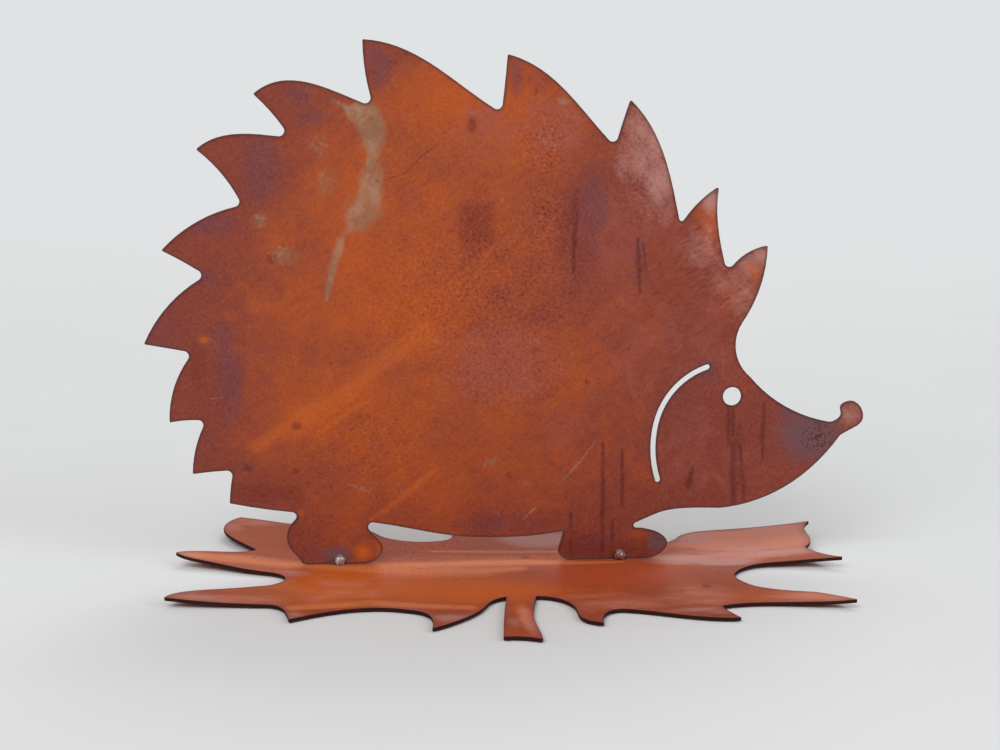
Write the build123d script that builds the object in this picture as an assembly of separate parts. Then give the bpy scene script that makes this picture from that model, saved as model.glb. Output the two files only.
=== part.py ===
from build123d import *
import math
import os

# Hedgehog silhouette cut from sheet steel, tack-welded to a maple leaf cut from like sheet.
# The body stands in the XZ plane with its nose towards +X. The origin is on the ground,
# midway between the two feet, and +Z points up. All sizes are in millimetres.

# Body plate
body_length = 200.0
body_height = 144.0
body_thickness = 1.0
quill_tip_radius = 0.35
valley_radius = 1.5
narrow_valley_radius = 0.8
foot_notch_radius = 1.3
chin_notch_radius = 0.8
belly_corner_radius = 0.5
eye_diameter = 5.2
cheek_slot_width = 1.5

# Leaf
leaf_width = 185.0
leaf_depth = 168.0
leaf_thickness = 1.0
leaf_offset = 9.0
leaf_turn_deg = 5.5
leaf_tip_radius = 0.2
leaf_notch_radius = 1.5
leaf_sinus_radius = 4.0
stalk_length = 41.5
stalk_width = 8.0
stalk_corner_radius = 0.5

# Both sides of the leaf are rolled up beyond a slanted line, so that the prongs lift
roll_start = 56.0
roll_slant_deg = 6.0
prong_lift = 2.4

# Tack welds in front of the feet
weld_diameter = 3.6
weld_rise = 2.8
weld_stand_off = 0.3

# Spare length of every tool body beyond what it cuts
overrun = 5.0

# Body outline, clockwise from the brow. Points are shares of the body's length from the tail
# and of its height from the soles. The midpoint between the feet lies at the stance share.
stance_share = 0.4585
brow_share = (0.824, 0.460)

# The valley behind the second quill is narrower than the others
narrow_valley_share = (0.735, 0.649)

# One row for each quill: bulges of its front side, its tip, the bulge of its rear side, the valley
quill_shares = [
    ([(0.848, 0.527)], (0.858, 0.610), (0.829, 0.595), (0.802, 0.555)),
    ([(0.791, 0.618), (0.786, 0.675)], (0.788, 0.724), (0.762, 0.696), narrow_valley_share),
    ([(0.723, 0.725), (0.698, 0.824)], (0.663, 0.889), (0.653, 0.847), (0.643, 0.800)),
    ([(0.600, 0.866), (0.552, 0.933)], (0.494, 0.974), (0.491, 0.925), (0.486, 0.864)),
    ([(0.432, 0.915), (0.367, 0.974)], (0.297, 1.001), (0.301, 0.937), (0.312, 0.875)),
    ([(0.255, 0.907), (0.188, 0.9235)], (0.150, 0.899), (0.176, 0.862), (0.199, 0.818)),
    ([(0.144, 0.825), (0.103, 0.819)], (0.073, 0.796), (0.106, 0.752), (0.134, 0.691)),
    ([(0.070, 0.658)], (0.025, 0.607), (0.056, 0.584), (0.085, 0.559)),
    ([(0.036, 0.507)], (0.000, 0.430), (0.032, 0.422), (0.066, 0.413)),
    ([(0.041, 0.352)], (0.033, 0.280), (0.058, 0.284), (0.083, 0.283)),
    ([(0.069, 0.235)], (0.0635, 0.180), (0.090, 0.184), (0.119, 0.186)),
]

# The rest of the outline: the kind of corner that ends each run, and the points that it passes.
# The outline is level where it meets the flat sole of a foot.
lower_body_shares = [
    ("quill tip", [(0.115, 0.152), (0.1135, 0.122)]),
    ("foot notch", [(0.160, 0.110), (0.212, 0.101)]),
    ("level", [(0.1945, 0.072), (0.195, 0.034), (0.210, 0.009), (0.234, 0.0)]),
    ("level", [(0.290, 0.0)]),
    ("foot notch", [(0.318, 0.011), (0.3235, 0.032), (0.313, 0.053), (0.294, 0.083)]),
    ("belly corner", [(0.348, 0.071), (0.420, 0.052), (0.485, 0.047), (0.535, 0.049), (0.577, 0.058)]),
    ("level", [(0.572, 0.034), (0.5695, 0.015), (0.586, 0.0)]),
    ("level", [(0.692, 0.0)]),
    ("chin notch", [(0.713, 0.009), (0.7235, 0.028), (0.712, 0.049), (0.690, 0.059), (0.657, 0.062)]),
    ("smooth", [(0.685, 0.075), (0.713, 0.091), (0.750, 0.098), (0.797, 0.097)]),
    ("smooth", [(0.841, 0.108), (0.898, 0.144), (0.940, 0.192), (0.967, 0.237)]),
    ("smooth", [(0.985, 0.251), (0.999, 0.268), (0.998, 0.287), (0.988, 0.303)]),
    ("smooth", [(0.976, 0.304), (0.967, 0.294), (0.968, 0.279), (0.960, 0.267), (0.948, 0.265)]),
    ("smooth", [(0.888, 0.296), (0.837, 0.355)]),
    ("smooth", [(0.8155, 0.416), brow_share]),
]

eye_share = (0.812, 0.317)
cheek_slot_shares = [(0.776, 0.375), (0.733, 0.337), (0.705, 0.265), (0.7085, 0.155)]
rear_weld_share = 0.2635
front_weld_share = 0.655

# Leaf outline from the left side of the stalk's root to the tip of the middle lobe, in shares of
# the leaf's width and depth from the middle of the blade. The stalk points to -Y.
root_share = (-0.012, -0.253)
left_leaf_shares = [
    ("leaf tip", [(-0.028, -0.271), (-0.045, -0.327), (-0.077, -0.398), (-0.115, -0.450)]),
    ("smooth", [(-0.115, -0.402), (-0.126, -0.357), (-0.150, -0.337)]),
    ("leaf tip", [(-0.207, -0.327), (-0.262, -0.353), (-0.312, -0.399)]),
    ("leaf notch", [(-0.319, -0.354), (-0.332, -0.304)]),
    ("leaf tip", [(-0.412, -0.3045), (-0.492, -0.300)]),
    ("leaf sinus", [(-0.478, -0.265), (-0.415, -0.215), (-0.335, -0.158)]),
    ("leaf sinus", [(-0.333, -0.111)]),
    ("leaf tip", [(-0.388, -0.082), (-0.455, -0.045), (-0.491, -0.027), (-0.504, -0.010)]),
    ("leaf notch", [(-0.487, 0.010), (-0.431, 0.033), (-0.388, 0.061)]),
    ("leaf tip", [(-0.413, 0.104), (-0.448, 0.185), (-0.446, 0.252), (-0.431, 0.297)]),
    ("smooth", [(-0.402, 0.294), (-0.352, 0.277), (-0.214, 0.235), (-0.157, 0.163)]),
    ("smooth", [(-0.123, 0.143), (-0.090, 0.188)]),
    ("leaf tip", [(-0.100, 0.290), (-0.165, 0.375)]),
    ("leaf notch", [(-0.125, 0.390), (-0.085, 0.398)]),
    ("leaf tip", [(-0.050, 0.470), (0.010, 0.571)]),
]

# The stalk, round its cut end to the right side of its root, in shares of its width and length
stalk_shares = [
    ("stalk corner", [(-0.12, -0.53), (-0.18, -1.0)]),
    ("stalk corner", [(0.62, -1.0), (1.04, -1.055)]),
    ("smooth", [(0.96, -0.82), (0.84, -0.55), (0.91, -0.17), (1.0, 0.02)]),
]
right_leaf_shares = [
    ("leaf tip", [(0.052, -0.254), (0.074, -0.284), (0.085, -0.335), (0.090, -0.383), (0.119, -0.414)]),
    ("smooth", [(0.121, -0.372), (0.138, -0.334), (0.165, -0.333)]),
    ("leaf tip", [(0.212, -0.355), (0.262, -0.377), (0.310, -0.381)]),
    ("leaf notch", [(0.299, -0.348), (0.2895, -0.308)]),
    ("leaf tip", [(0.322, -0.292), (0.365, -0.287), (0.417, -0.293), (0.482, -0.299)]),
    ("leaf sinus", [(0.443, -0.246), (0.402, -0.208), (0.350, -0.184)]),
    ("leaf sinus", [(0.325, -0.101)]),
    ("leaf sinus", [(0.362, -0.028)]),
    ("leaf tip", [(0.402, -0.021), (0.450, -0.020), (0.499, -0.028)]),
    ("leaf notch", [(0.475, 0.006), (0.4525, 0.068)]),
    ("leaf tip", [(0.467, 0.118), (0.467, 0.190), (0.481, 0.250)]),
    ("smooth", [(0.411, 0.245), (0.350, 0.240), (0.312, 0.233), (0.262, 0.172)]),
    ("smooth", [(0.200, 0.117), (0.120, 0.170)]),
    ("leaf tip", [(0.118, 0.290), (0.180, 0.372)]),
    ("leaf notch", [(0.140, 0.385), (0.105, 0.395)]),
    ("smooth", [(0.070, 0.470), (0.010, 0.571)]),
]

corner_radii = {
    "quill tip": quill_tip_radius,
    "quill valley": valley_radius,
    "narrow valley": narrow_valley_radius,
    "foot notch": foot_notch_radius,
    "belly corner": belly_corner_radius,
    "chin notch": chin_notch_radius,
    "leaf tip": leaf_tip_radius,
    "leaf notch": leaf_notch_radius,
    "leaf sinus": leaf_sinus_radius,
    "stalk corner": stalk_corner_radius,
}


def edge_through(points, level_start, level_end):
    """One smooth edge through points, running towards +X at its level ends."""
    if len(points) == 2:
        return Line(*points)
    if level_start or level_end:
        first = (1, 0) if level_start else Vector(*points[1]) - Vector(*points[0])
        last = (1, 0) if level_end else Vector(*points[-1]) - Vector(*points[-2])
        return Spline(*points, tangents=[first, last])
    if len(points) == 3:
        return ThreePointArc(*points)
    return Spline(*points)


def chain(start, runs):
    """Edges that follow one another, each through the points of its run."""
    edges = []
    level_start = False
    for kind, points in runs:
        level_end = kind == "level"
        edges.append(edge_through([start] + points, level_start, level_end))
        start = points[-1]
        level_start = level_end
    return edges


def placed(runs, place):
    """The same runs with their shares turned into lengths."""
    return [(kind, [place(share) for share in points]) for kind, points in runs]


def rounded(prism, runs):
    """Round the upright edges at the corners that end the runs, each by its kind."""
    for kind, radius in corner_radii.items():
        corners = [Vector(*points[-1]) for end_kind, points in runs if end_kind == kind]
        if corners:
            upright = prism.edges().filter_by(Axis.Z)
            prism = fillet([nearest(upright, corner) for corner in corners], radius)
    return prism


def nearest(edges, corner):
    return min(edges, key=lambda edge: (edge.center() - corner).length)


def on_body(share):
    return (body_length * (share[0] - stance_share), body_height * share[1])


def on_leaf(share):
    return (leaf_width * share[0], leaf_depth * share[1])


def on_stalk(share):
    root_x, root_y = on_leaf(root_share)
    return (root_x + stalk_width * share[0], root_y + stalk_length * share[1])


def body_runs():
    """The runs of the whole silhouette, quills first."""
    runs = []
    for front, tip, rear, valley in quill_shares:
        valley_kind = "narrow valley" if valley == narrow_valley_share else "quill valley"
        runs.append(("quill tip", front + [tip]))
        runs.append((valley_kind, [rear, valley]))
    return placed(runs + lower_body_shares, on_body)


def cheek_slot():
    """Slot along two arcs, each the smooth continuation of the other."""
    top, bulge, middle, bottom = [on_body(share) for share in cheek_slot_shares]
    upper = ThreePointArc(top, bulge, middle)
    lower = TangentArc(middle, bottom, tangent=upper % 1)
    return SlotArc(Wire([upper, lower]), cheek_slot_width)


def hedgehog_plate():
    """The silhouette with its eye hole and the curved slot that marks the cheek."""
    runs = body_runs()
    outline = make_face(chain(on_body(brow_share), runs))
    plate = rounded(extrude(outline, body_thickness / 2, both=True), runs)
    eye = Pos(*on_body(eye_share)) * Circle(eye_diameter / 2)
    plate -= extrude(eye + cheek_slot(), body_thickness, both=True)
    return Pos(0, 0, leaf_thickness) * Rot(90, 0, 0) * plate


def leaf_prism(reach):
    """The leaf's outline as an upright prism with rounded corners."""
    left = placed(left_leaf_shares, on_leaf)
    right = placed(stalk_shares, on_stalk) + placed(right_leaf_shares, on_leaf)
    root = on_leaf(root_share)
    outline = chain(root, left) + chain(root, right)
    return rounded(extrude(make_face(outline), reach, both=True), left + right)


def rolled_sheet():
    """Sheet that is flat in the middle and rolled up beyond a slanted line at each side."""
    slant = math.radians(roll_slant_deg)
    reach = (leaf_width / 2 - roll_start) * math.cos(slant)
    outer = (reach**2 + prong_lift**2) / (2 * prong_lift)
    swing = math.degrees(math.asin((reach + 2 * overrun) / outer))
    span = leaf_depth + stalk_length
    skew = span * math.tan(slant)
    middle = Polyline(
        (-roll_start - skew, -span),
        (roll_start + skew, -span),
        (roll_start - skew, span),
        (skew - roll_start, span),
        close=True,
    )
    flat = extrude(make_face(middle), leaf_thickness)
    under = CenterArc((0, outer), outer, -90, swing)
    upper = CenterArc((0, outer), outer - leaf_thickness, -90, swing)
    section = make_face([under, upper, Line(under @ 0, upper @ 0), Line(under @ 1, upper @ 1)])
    roll = extrude(Plane.XZ * section, span, both=True)
    roll = Pos(roll_start, 0, 0) * Rot(0, 0, roll_slant_deg) * roll
    return flat + roll + mirror(roll, about=Plane.YZ)


def leaf_base():
    """Maple leaf cut out of the rolled sheet."""
    leaf = leaf_prism(prong_lift + leaf_thickness + overrun) & rolled_sheet()
    return Pos(leaf_offset, 0, 0) * Rot(0, 0, -leaf_turn_deg) * leaf


def tack_weld(share):
    """A round bead in the corner between a foot's front face and the leaf."""
    radius = weld_diameter / 2
    foot_face = Pos(body_length * (share - stance_share), -body_thickness / 2, leaf_thickness)
    bead = Pos(0, -weld_stand_off, weld_rise - radius) * Sphere(radius)
    size = 2 * weld_diameter
    corner = Box(size, size, size, align=(Align.CENTER, Align.MAX, Align.MIN))
    return foot_face * (bead & corner)


def build():
    return {
        "hedgehog_plate": hedgehog_plate(),
        "leaf_base": leaf_base(),
        "rear_foot_weld": tack_weld(rear_weld_share),
        "front_foot_weld": tack_weld(front_weld_share),
    }


if __name__ == "__main__":
    os.makedirs("parts", exist_ok=True)
    for node, solid in build().items():
        export_step(solid, f"parts/{node}.step")
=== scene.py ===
import math
import bpy
import numpy as np
from mathutils import Matrix, Vector, kdtree, noise
from mathutils.bvhtree import BVHTree
from mathutils.geometry import delaunay_2d_cdt


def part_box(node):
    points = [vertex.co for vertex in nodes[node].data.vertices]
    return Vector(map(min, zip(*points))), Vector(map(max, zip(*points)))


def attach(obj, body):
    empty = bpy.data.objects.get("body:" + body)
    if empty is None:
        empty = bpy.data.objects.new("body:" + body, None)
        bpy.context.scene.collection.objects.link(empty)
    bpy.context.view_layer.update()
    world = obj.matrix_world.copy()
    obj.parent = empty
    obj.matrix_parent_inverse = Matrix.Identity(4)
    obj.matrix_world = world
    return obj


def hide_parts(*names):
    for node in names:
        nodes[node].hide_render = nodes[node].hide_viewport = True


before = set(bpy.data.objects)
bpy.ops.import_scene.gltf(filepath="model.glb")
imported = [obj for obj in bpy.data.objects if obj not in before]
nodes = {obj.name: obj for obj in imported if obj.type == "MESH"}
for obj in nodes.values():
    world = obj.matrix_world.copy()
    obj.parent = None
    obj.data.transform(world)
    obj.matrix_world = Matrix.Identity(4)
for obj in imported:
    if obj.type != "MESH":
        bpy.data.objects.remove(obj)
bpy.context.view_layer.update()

# A hedgehog of rusted sheet steel on a maple-leaf foot. Lengths are millimetres in the CAD frame: x along
# the body towards the nose, y away from the viewer, z up. Only the lamps and the camera are placed in metres.

MM = 0.001
TINY = 1e-6
THICK = 1.0  # both sheets


# ---------------------------------------------------------------- outlines of the CAD sheets

SHORTEST = 0.07  # rim points closer than this to the one before are dropped
LEAST_LEAN = 0.6  # limits how far a sharp corner moves when the rim is offset


def welded(obj):
    """Points in mm and triangles of a CAD node, with its doubled vertices joined."""
    mesh = obj.data
    mesh.calc_loop_triangles()
    points = np.array([v.co for v in mesh.vertices]) / MM
    points, back = np.unique(np.round(points, 3), axis=0, return_inverse=True)
    back = back.reshape(-1)
    tris = [tuple(back[i] for i in t.vertices) for t in mesh.loop_triangles]
    return points, [t for t in tris if len(set(t)) == 3]


def facing(points, tris, way):
    """The triangles whose outward side looks along way, within 60 degrees."""
    kept = []
    for t in tris:
        a, b, c = points[list(t)]
        normal = np.cross(b - a, c - a)
        if np.dot(normal, way) > 0.5 * np.linalg.norm(normal):
            kept.append(t)
    return kept


def rims(tris):
    """Loops of boundary vertices, with the sheet on the left of each."""
    edges = set()
    for a, b, c in tris:
        edges |= {(a, b), (b, c), (c, a)}
    after = {a: b for a, b in edges if (b, a) not in edges}
    loops = []
    while after:
        start = min(after)
        loop = [start]
        here = after.pop(start)
        while here != start:
            loop.append(here)
            here = after.pop(here)
        loops.append(loop)
    return loops


def evened(loop, step):
    """The loop with its long segments divided and its very short ones dropped."""
    kept = [loop[0]]
    for p in loop[1:]:
        if np.linalg.norm(p - kept[-1]) > SHORTEST:
            kept.append(p)
    if np.linalg.norm(kept[0] - kept[-1]) < SHORTEST:
        kept.pop()
    out = []
    for a, b in zip(kept, kept[1:] + kept[:1]):
        n = max(1, math.ceil(np.linalg.norm(b - a) / step))
        out += [a + (b - a) * i / n for i in range(n)]
    return np.array(out)


def redrawn(loop, line, step):
    """The flat loop, led along a smooth curve through a line's points between the line's two ends."""
    line = [np.array(p) for p in line]
    first, last = (int(np.argmin(np.linalg.norm(loop - p, axis=1))) for p in (line[0], line[-1]))
    if (last - first) % len(loop) > len(loop) // 2:
        line, first, last = line[::-1], last, first
    line[0], line[-1] = loop[first], loop[last]
    padded = [loop[first - 2], *line, loop[(last + 2) % len(loop)]]
    curve = []
    for a, b, c, d in zip(padded, padded[1:], padded[2:], padded[3:]):
        n = max(1, math.ceil(np.linalg.norm(c - b) / step))
        for t in np.arange(n) / n:
            bend = (2 * a - 5 * b + 4 * c - d) * t + (3 * b - a - 3 * c + d) * t * t
            curve.append(b + 0.5 * t * (c - a + bend))
    return np.concatenate([np.roll(loop, -last, 0)[:(first - last) % len(loop)], curve])


def inset(loop, distance):
    """The flat loop moved into the sheet by a distance."""
    before = loop - np.roll(loop, 1, 0)
    after = np.roll(loop, -1, 0) - loop
    sides = []
    for run in (before, after):
        run = run / np.linalg.norm(run, axis=1)[:, None]
        sides.append(np.stack([-run[:, 1], run[:, 0]], 1))
    middle = sides[0] + sides[1]
    middle = middle / np.maximum(np.linalg.norm(middle, axis=1), TINY)[:, None]
    lean = np.maximum((middle * sides[0]).sum(1), LEAST_LEAN)
    return loop + middle * (distance / lean)[:, None]


def inside(points, loops):
    """Which flat points lie in the sheet, by counting the rims crossed to their left."""
    hit = np.zeros(len(points), bool)
    for loop in loops:
        for a, b in zip(loop, np.roll(loop, -1, 0)):
            if a[1] == b[1]:
                continue
            between = (points[:, 1] > min(a[1], b[1])) & (points[:, 1] <= max(a[1], b[1]))
            x = a[0] + (points[:, 1] - a[1]) * (b[0] - a[0]) / (b[1] - a[1])
            hit ^= between & (points[:, 0] > x)
    return hit


# ---------------------------------------------------------------- meshes

ROW = 0.866  # height of a row of triangles, as a share of their side
JITTER = 0.18  # how far the points inside a sheet are shaken, as a share of the step
NEAR_EXTRA, NEAR_RIM = 0.55, 0.75  # points nearer to these than such a share of the step are dropped
# The rings of a rounded rim, from its middle to the face: offset into the sheet, depth below the face
ROUNDING = [(0.0, 0.16), (0.05, 0.05), (0.16, 0.0)]
CDT_INSIDE, CDT_GAP = 1, 1e-5


def flat_tree(loops):
    points = np.concatenate(loops)
    tree = kdtree.KDTree(len(points))
    for i, p in enumerate(points):
        tree.insert((p[0], p[1], 0.0), i)
    tree.balance()
    return tree


def gaps(points, tree):
    """How far each flat point is from the nearest one of the tree."""
    return np.array([tree.find((p[0], p[1], 0.0))[2] for p in points])


def filled(loops, tree, step, extra, seed):
    """Flat points and triangles that fill the loops, and the places of the loops' own points."""
    rng = np.random.default_rng(seed)
    ring = np.concatenate(loops)
    low, high = ring.min(0), ring.max(0)
    rows = []
    y = low[1]
    shift = 0.0
    while y < high[1]:
        x = np.arange(low[0] + shift, high[0], step)
        rows.append(np.stack([x, np.full(len(x), y)], 1))
        y += step * ROW
        shift = step / 2 - shift
    grid = np.concatenate(rows)
    grid = grid + rng.uniform(-JITTER, JITTER, grid.shape) * step
    if len(extra):
        far = gaps(grid, flat_tree([extra])) > step * NEAR_EXTRA
        grid = np.concatenate([grid[far], extra])
    grid = grid[inside(grid, loops)]
    grid = grid[gaps(grid, tree) > NEAR_RIM * min(step, 1.0)]
    points = np.concatenate([ring, grid])
    edges = []
    first = 0
    for loop in loops:
        n = len(loop)
        edges += [(first + i, first + (i + 1) % n) for i in range(n)]
        first += n
    verts, _, faces, origin, _, _ = delaunay_2d_cdt([Vector(p) for p in points], edges, [], CDT_INSIDE, CDT_GAP)
    place = {old: new for new, olds in enumerate(origin) for old in olds}
    flat = np.array([tuple(v) for v in verts])
    faces = [tuple(f) for f in faces if len(f) == 3]
    keep = inside(np.array([flat[list(f)].mean(0) for f in faces]), loops)
    return flat, [f for f, k in zip(faces, keep) if k], [place[i] for i in range(len(ring))]


def built(name, verts, faces):
    """A smooth object from points in mm."""
    mesh = bpy.data.meshes.new(name)
    mesh.from_pydata([tuple(np.array(v) * MM) for v in verts], [], faces)
    mesh.validate()
    for polygon in mesh.polygons:
        polygon.use_smooth = True
    piece = bpy.data.objects.new(name, mesh)
    bpy.context.scene.collection.objects.link(piece)
    return piece


def sheet(name, loops, front, back, front_step, back_step, extra=()):
    """A closed sheet with rounded rims, with the places of its vertices and their distances to the rim.
    front and back place a flat point, given how deep it sits below the face."""
    tree = flat_tree(loops)
    verts, rim = [], []

    def side(place, step, points, seed):
        inner = [inset(loop, ROUNDING[-1][0]) for loop in loops]
        flat, tris, order = filled(inner, tree, step, points, seed)
        first = len(verts)
        verts.extend(place(p, 0.0) for p in flat)
        rim.extend(gaps(flat, tree))
        rings = []
        for offset, depth in ROUNDING[:-1]:
            ring = np.concatenate([inset(loop, offset) for loop in loops])
            rings.append([len(verts) + i for i in range(len(ring))])
            verts.extend(place(p, depth) for p in ring)
            rim.extend([offset] * len(ring))
        rings.append([first + i for i in order])
        return [[first + i for i in t] for t in tris], rings

    front_tris, front_rings = side(front, front_step, extra, seed=3)
    back_tris, back_rings = side(back, back_step, (), seed=4)
    faces = front_tris + [t[::-1] for t in back_tris]
    chain = back_rings[::-1] + front_rings
    for outer, inner in zip(chain, chain[1:]):
        first = 0
        for loop in loops:
            n = len(loop)
            for i in range(n):
                j, k = first + i, first + (i + 1) % n
                faces.append([outer[j], outer[k], inner[k], inner[j]])
            first += n
    return built(name, verts, faces), np.array(verts), np.array(rim)


def worn(p, *ripples):
    """How far a face is worn away at a flat point. Each ripple is a height, a length and a seed."""
    return sum(height * (1 + noise.noise(Vector((p[0] / length, p[1] / length, seed))))
               for height, length, seed in ripples)


# ---------------------------------------------------------------- fields of marks

FAR = 4.0  # a stroke's mark stops growing here, where every stroke has faded


def mark(piece, marks):
    """Numbers for each vertex, which the material reads by their names."""
    for name, values in marks.items():
        layer = piece.data.attributes.new(name, "FLOAT", "POINT")
        layer.data.foreach_set("value", np.asarray(values, np.float32))


def patches(x, z, rows):
    """Soft ellipses: each row is the middle, the two half sizes and the strength."""
    total = np.zeros(len(x))
    for cx, cz, rx, rz, strength in rows:
        far = ((x - cx) / rx) ** 2 + ((z - cz) / rz) ** 2
        total = np.maximum(total, strength * np.exp(-0.9 * far ** 1.3))
    return total


def sum_patches(x, z, rows):
    """The same, with softer edges, added up where they overlap."""
    total = np.zeros(len(x))
    for cx, cz, rx, rz, strength in rows:
        total += strength * np.exp(-(((x - cx) / rx) ** 2 + ((z - cz) / rz) ** 2))
    return total


def oblong(x, z, rows, soft=0.7):
    """The same with soft-edged rectangles."""
    total = np.zeros(len(x))
    for cx, cz, rx, rz, strength in rows:
        gap = np.maximum(np.abs(x - cx) - rx, np.abs(z - cz) - rz)
        total = np.maximum(total, strength / (1 + np.exp(np.clip(gap / soft, -30, 30))))
    return total


def strokes(x, z, lines):
    """How far a point is from the nearest brush line, as a share of the line's half width there. Each
    point of a line is a place and the half width."""
    best = np.full(len(x), FAR)
    for line in lines:
        for (ax, az, aw), (bx, bz, bw) in zip(line, line[1:]):
            dx, dz = bx - ax, bz - az
            t = np.clip(((x - ax) * dx + (z - az) * dz) / (dx * dx + dz * dz), 0, 1)
            width = aw + (bw - aw) * t
            best = np.minimum(best, np.hypot(x - ax - t * dx, z - az - t * dz) / width)
    return best


def along(line, width=0.35, step=0.5):
    """Extra mesh points on and beside a thin line."""
    out = []
    for a, b in zip(line, line[1:]):
        start = np.array(a[:2])
        run = np.array(b[:2]) - start
        length = np.linalg.norm(run)
        side = np.array([-run[1], run[0]]) / length
        n = max(1, round(length / step))
        for i in range(n + 1):
            p = start + run * i / n
            out += [tuple(p + side * s * width) for s in (-1.6, -0.6, 0.6, 1.6, 0.0)]
    return out


# ---------------------------------------------------------------- hedgehog plate

STAIN = [(-40.3, 128.9, 0.7), (-36.0, 126.7, 1.9), (-31.7, 124.6, 3.3), (-29.5, 119.7, 2.7),
         (-30.1, 113.3, 2.9), (-30.4, 106.5, 3.0), (-32.0, 100.0, 4.4), (-34.0, 95.9, 3.1),
         (-37.4, 92.4, 1.3), (-39.6, 86.7, 1.5), (-41.3, 79.9, 1.1), (-42.3, 74.4, 0.4)]
DRIPS = [
    [(69.8, 43.7, 0.4), (69.9, 38.0, 0.6), (69.9, 33.8, 0.3)],
    [(71.0, 43.7, 0.3), (71.2, 33.0, 0.5), (71.5, 22.0, 0.7), (71.7, 15.6, 0.4)],
    [(72.9, 38.5, 0.25), (73.1, 33.5, 0.5), (73.6, 28.4, 0.3)],
    [(73.8, 28.0, 0.3), (74.3, 22.0, 0.5), (74.8, 17.0, 0.3)],
    [(79.8, 44.6, 0.3), (79.6, 36.0, 0.5), (79.8, 29.0, 0.3)],
    [(59.9, 26.8, 0.25), (58.9, 22.6, 0.7), (58.6, 20.8, 0.4)],
    [(39.8, 31.9, 0.3), (40.0, 20.5, 0.45), (40.0, 15.7, 0.3)],
    [(34.4, 34.0, 0.3), (34.5, 18.0, 0.45), (34.6, 3.0, 0.35)],
    [(25.6, 14.0, 0.35), (25.7, 2.8, 0.3)],
    [(37.4, 12.0, 0.3), (37.3, 4.5, 0.4)],
    [(26.1, 104.4, 0.3), (25.9, 97.0, 0.6), (25.8, 90.0, 0.5), (25.6, 81.8, 0.3)],
    [(43.4, 90.9, 0.3), (43.8, 84.0, 0.5), (44.2, 76.0, 0.3)],
    [(44.9, 89.6, 0.2), (45.8, 82.0, 0.25)]]
FAINT_LINE = [(-26.2, 107.4, 0.2), (-20.8, 109.1, 0.2), (-16.2, 113.8, 0.2), (-11.3, 117.6, 0.15)]
SCRATCHES = [
    [(21.9, 22.3, 0.2), (25.0, 25.4, 0.5), (28.0, 28.6, 0.55), (32.1, 34.2, 0.15)],
    [(12.4, 12.8, 0.25), (14.4, 15.0, 0.45), (16.3, 16.6, 0.25)],
    [(5.7, 100.9, 0.25), (6.1, 102.6, 0.25)],
    [(-74.1, 47.7, 0.2), (-70.8, 48.0, 0.2)],
    [(-36.3, 23.4, 0.3), (-32.4, 22.0, 0.7), (-29.2, 20.1, 0.25)]]
STREAKS = [
    [(-62.0, 34.0, 1.6), (-49.6, 41.8, 3.0), (-37.3, 48.4, 2.4), (-24.9, 58.6, 2.6), (-15.0, 66.0, 3.2)],
    [(-46.0, 37.2, 0.6), (-37.3, 43.2, 0.9), (-30.0, 47.4, 0.6)],
    [(-30.6, 13.0, 0.5), (-26.3, 15.7, 1.0), (-22.7, 18.8, 1.1), (-18.4, 22.0, 1.1), (-12.0, 27.5, 0.5)],
    [(-29.6, 12.0, 0.5), (-28.2, 8.2, 0.9), (-27.7, 4.5, 0.9), (-29.6, 1.9, 0.5)],
    [(61.4, 99.0, 0.3), (64.6, 96.8, 0.3)],
    [(63.2, 94.4, 0.35), (64.3, 89.9, 0.3)],
    [(73.9, 83.7, 0.6), (75.6, 81.9, 1.3), (76.9, 80.2, 0.9)]]
NOT_ON_BACK = 9.0  # added to a stroke's mark there


def plate_front(p, depth):
    """Worn, with a dent at the toe of the rear foot."""
    dent = 0.22 * math.exp(-((p[0] + 27.6) ** 2 / 3.2 + (p[1] - 6.5) ** 2 / 14))
    low = 0.0 if depth else worn(p, (0.06, 24, 1.3), (0.03, 5, 7.1)) + dent
    return (p[0], -THICK / 2 + depth + low, p[1])


def plate_back(p, depth):
    low = 0.0 if depth else worn(p, (0.06, 24, 41.3), (0.03, 5, 57.1))
    return (p[0], THICK / 2 - depth - low, p[1])


points, tris = welded(nodes["hedgehog_plate"])
front_tris = facing(points, tris, (0, -1, 0))
plate_loops = [evened(points[loop][:, [0, 2]], step=0.7) for loop in rims(front_tris)]
thin = [p for line in DRIPS + [FAINT_LINE] + SCRATCHES for p in along(line)]
plate, co, rim = sheet("hedgehog_sheet", plate_loops, plate_front, plate_back, front_step=1.0, back_step=2.0,
                       extra=thin)
x, z = co[:, 0], co[:, 2]
on_front = (co[:, 1] < 0).astype(float)
away = NOT_ON_BACK * (1 - on_front)
thinner = patches(x, z, [
    (-31, 112.5, 4, 5.5, 0.65), (-41.5, 81, 3, 4, 0.2), (-36.4, 92.4, 2.8, 3.4, 0.8),
    (-37.6, 128.4, 3, 2.4, 0.7), (-34.2, 103, 2.4, 4, 0.55), (-39.8, 86, 2.4, 4, 0.4)])
thinner -= patches(x, z, [
    (-29, 122, 3.4, 4.5, 0.6), (-29.2, 108, 2.4, 4, 0.35), (-31.5, 100.5, 4, 5, 0.2)])
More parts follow.
